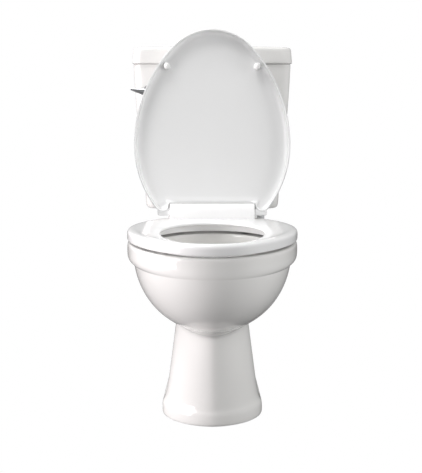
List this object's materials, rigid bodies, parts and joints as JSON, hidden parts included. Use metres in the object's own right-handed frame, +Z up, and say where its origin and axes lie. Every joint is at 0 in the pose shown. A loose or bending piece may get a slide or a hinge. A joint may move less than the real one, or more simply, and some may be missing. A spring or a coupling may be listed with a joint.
{
  "type": "close coupled toilet",
  "caption": "Floor standing close coupled toilet: glazed pan with a box rim, cistern with side lever, hinged seat ring and raised lid.",
  "frame": {"origin": "on the floor, under the middle of the whole object", "axes": "+X to the viewer's right, +Y back to the wall (the pan faces -Y), +Z up"},
  "size_m": [0.387, 0.6934, 0.8667],
  "materials": {
    "ceramic": "gloss glaze",
    "seat_plastic": "gloss moulded",
    "buffer_plastic": "soft satin",
    "hinge_plastic": "gloss moulded",
    "hinge_steel": "bright",
    "nut_plastic": "satin",
    "chrome": "mirror plated",
    "brass": "turned",
    "seal_rubber": "matt",
    "siphon_plastic": "satin moulded",
    "valve_plastic": "satin moulded",
    "float_plastic": "satin moulded",
    "steel_wire": "drawn"
  },
  "bodies": {
    "base": {"pan": "ceramic", "cistern": "ceramic", "hinge_posts": "hinge_plastic", "hinge_pins": "hinge_steel", "hinge_studs": "hinge_steel", "hinge_washers": "seal_rubber", "hinge_wing_nuts": "nut_plastic", "lever_bush": "chrome", "bush_washer": "seal_rubber", "bush_nut": "nut_plastic", "siphon_body": "siphon_plastic", "siphon_washer": "seal_rubber", "siphon_backnut": "nut_plastic", "doughnut_seal": "seal_rubber", "coupling_bolts": "brass", "coupling_seals": "seal_rubber", "coupling_wing_nuts": "brass", "valve_body": "valve_plastic", "valve_cap": "valve_plastic", "valve_pin": "steel_wire", "valve_washer": "seal_rubber", "valve_backnut": "nut_plastic"},
    "ring": {"seat_ring": "seat_plastic", "ring_buffers": "buffer_plastic"},
    "lid": {"seat_lid": "seat_plastic", "lid_buffers": "buffer_plastic"},
    "tank_lid": {"cistern_lid": "ceramic"},
    "lever": {"lever_handle": "chrome", "lever_spindle": "brass", "lift_arm": "brass"},
    "plunger": {"plunger_rod": "steel_wire", "plunger_disc": "siphon_plastic"},
    "float": {"float_cup": "float_plastic", "float_link": "steel_wire"},
    "arm": {"valve_arm": "valve_plastic"}
  },
  "joints": [
    {"name": "ring_hinge", "type": "hinge", "parent": "base", "child": "ring", "pos_m": [0, 0.08329, 0.442], "axis": [-1, 0, 0], "range_deg": [0, 98.5]},
    {"name": "lid_hinge", "type": "hinge", "parent": "base", "child": "lid", "pos_m": [0, 0.08329, 0.442], "axis": [-1, 0, 0], "range_deg": [-98.8, 0]},
    {"name": "tank_lid_lift", "type": "slide", "parent": "base", "child": "tank_lid", "axis": [0, 0, 1], "range_m": [0, 0.1]},
    {"name": "lever_turn", "type": "hinge", "parent": "base", "child": "lever", "pos_m": [-0.142, 0.16671, 0.718], "axis": [0, -1, 0], "range_deg": [0, 28]},
    {"name": "plunger_lift", "type": "slide", "parent": "base", "child": "plunger", "axis": [0, 0, 1], "range_m": [0, 0.03494]},
    {"name": "float_rise", "type": "slide", "parent": "base", "child": "float", "axis": [0, 0, 1], "range_m": [0, 0.02071]},
    {"name": "arm_turn", "type": "hinge", "parent": "base", "child": "arm", "pos_m": [0.134, 0.26871, 0.726], "axis": [0, 1, 0], "range_deg": [0, 30.1]}
  ],
  "couplings": [
    {"joint": "plunger_lift", "follows": "lever_turn", "m_per_rad": 0.071286},
    {"joint": "arm_turn", "follows": "float_rise", "rad_per_m": 25.288}
  ]
}
